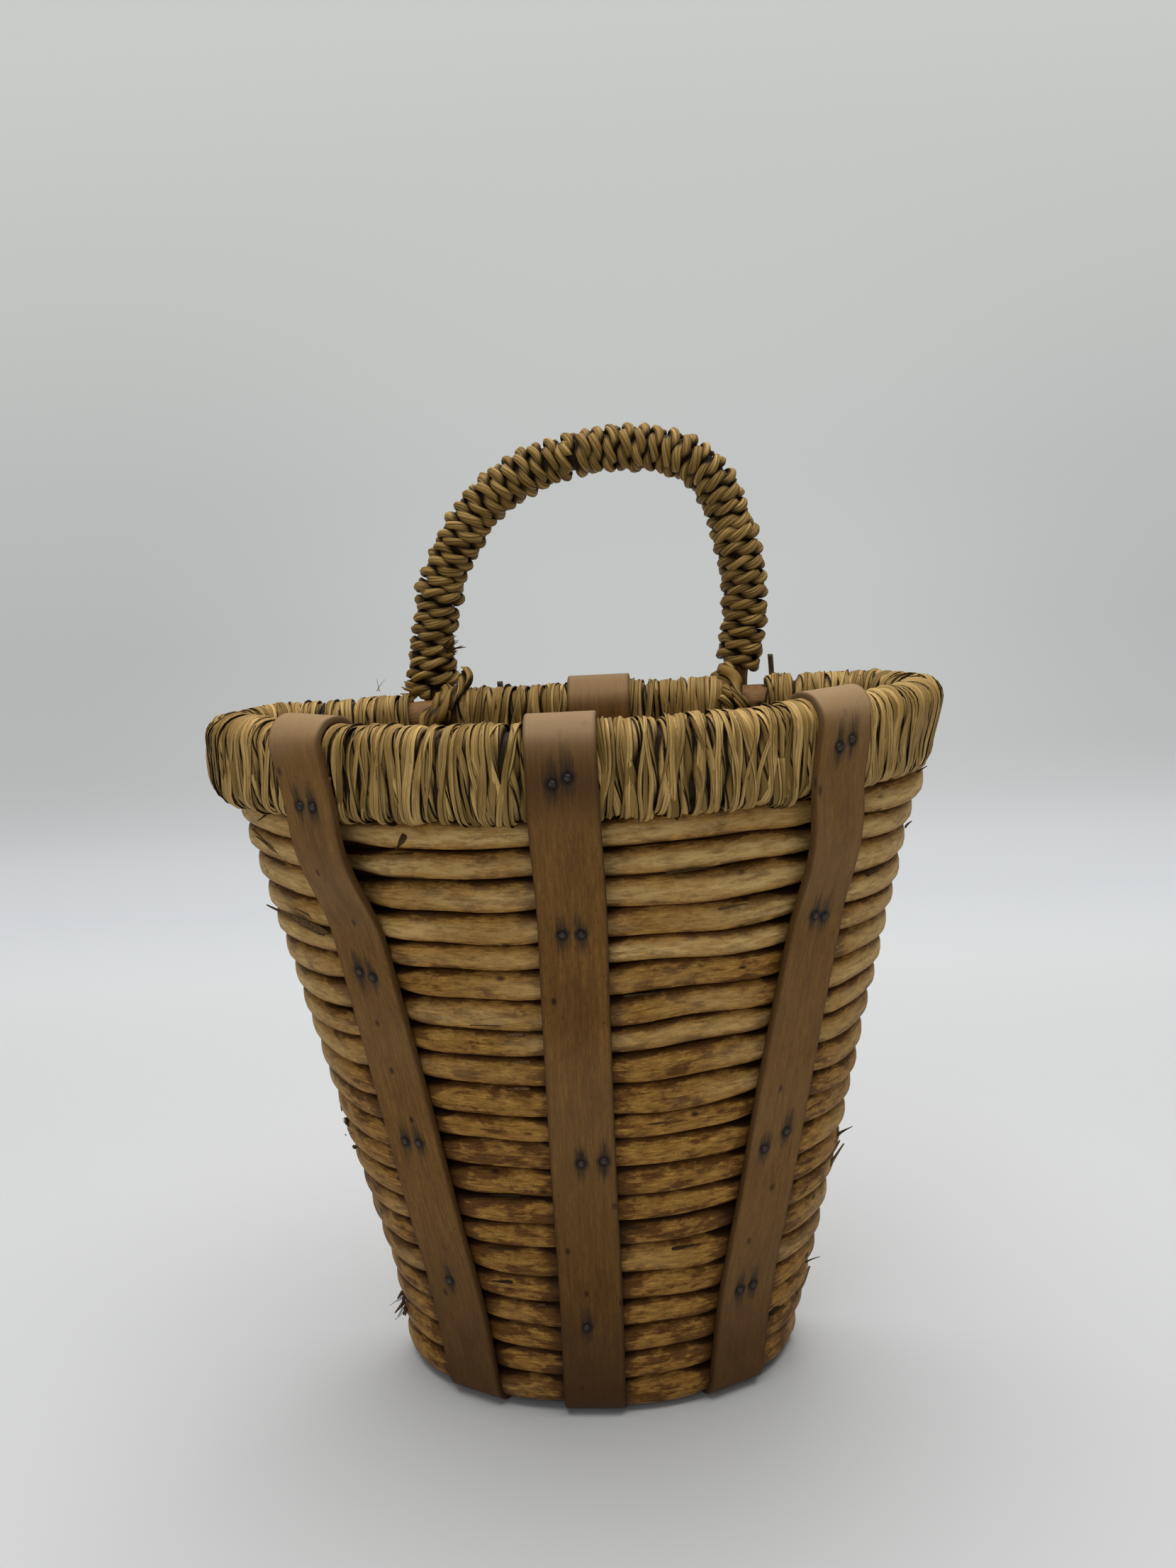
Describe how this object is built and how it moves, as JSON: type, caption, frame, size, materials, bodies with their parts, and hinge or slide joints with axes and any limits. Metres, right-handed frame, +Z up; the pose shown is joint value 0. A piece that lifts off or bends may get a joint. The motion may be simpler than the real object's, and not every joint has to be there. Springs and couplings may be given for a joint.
{
  "type": "picking basket",
  "caption": "Half-round wooden picking basket of stacked bent rods with a rush-wrapped rim, nailed wooden straps and a rope-wound bow handle at its flat back.",
  "frame": {"origin": "middle of the box of the basket in plan, on the surface that its base stands on", "axes": "+Z up out of the basket's mouth, -Y towards the bowed front, +X to the right seen from the front"},
  "size_m": [0.3244, 0.1375, 0.439],
  "materials": {
    "peeled_rod": "peeled, dry",
    "bent_strap_wood": "weathered",
    "twisted_rush": "dry rush, wound",
    "seagrass_rope": "two-ply rope",
    "peeled_hoop": "peeled, smooth",
    "base_board_wood": "plain sawn",
    "twig_bark": "bark left on",
    "nail_iron": "dull dark iron"
  },
  "bodies": {
    "root": {"base_board": "base_board_wood", "foot_lashing_left": "seagrass_rope", "foot_lashing_right": "seagrass_rope", "handle_bow": "peeled_hoop", "handle_rope_left": "seagrass_rope", "handle_rope_right": "seagrass_rope", "nail_front_centre_1": "nail_iron", "nail_front_centre_2": "nail_iron", "nail_front_centre_3": "nail_iron", "nail_front_centre_4": "nail_iron", "nail_front_centre_5": "nail_iron", "nail_front_centre_6": "nail_iron", "nail_front_centre_7": "nail_iron", "nail_front_left_1": "nail_iron", "nail_front_left_2": "nail_iron", "nail_front_left_3": "nail_iron", "nail_front_left_4": "nail_iron", "nail_front_left_5": "nail_iron", "nail_front_left_6": "nail_iron", "nail_front_left_7": "nail_iron", "nail_front_right_1": "nail_iron", "nail_front_right_2": "nail_iron", "nail_front_right_3": "nail_iron", "nail_front_right_4": "nail_iron", "nail_front_right_5": "nail_iron", "nail_front_right_6": "nail_iron", "nail_front_right_7": "nail_iron", "nail_front_right_8": "nail_iron", "rim_hoop_lower": "peeled_hoop", "rim_hoop_upper": "peeled_hoop", "rim_wrap_back": "twisted_rush", "rim_wrap_front": "twisted_rush", "rod_01": "peeled_rod", "rod_02": "peeled_rod", "rod_03": "peeled_rod", "rod_04": "peeled_rod", "rod_05": "peeled_rod", "rod_06": "peeled_rod", "rod_07": "peeled_rod", "rod_08": "peeled_rod", "rod_09": "peeled_rod", "rod_10": "peeled_rod", "rod_11": "peeled_rod", "rod_12": "peeled_rod", "rod_13": "peeled_rod", "rod_14": "peeled_rod", "rod_15": "peeled_rod", "rod_16": "peeled_rod", "rod_17": "peeled_rod", "rod_18": "peeled_rod", "rod_19": "peeled_rod", "rod_20": "peeled_rod", "rod_21": "peeled_rod", "strap_back": "bent_strap_wood", "strap_front_centre": "bent_strap_wood", "strap_front_left": "bent_strap_wood", "strap_front_right": "bent_strap_wood", "twig_left": "twig_bark", "twig_right": "twig_bark"}
  },
  "joints": []
}
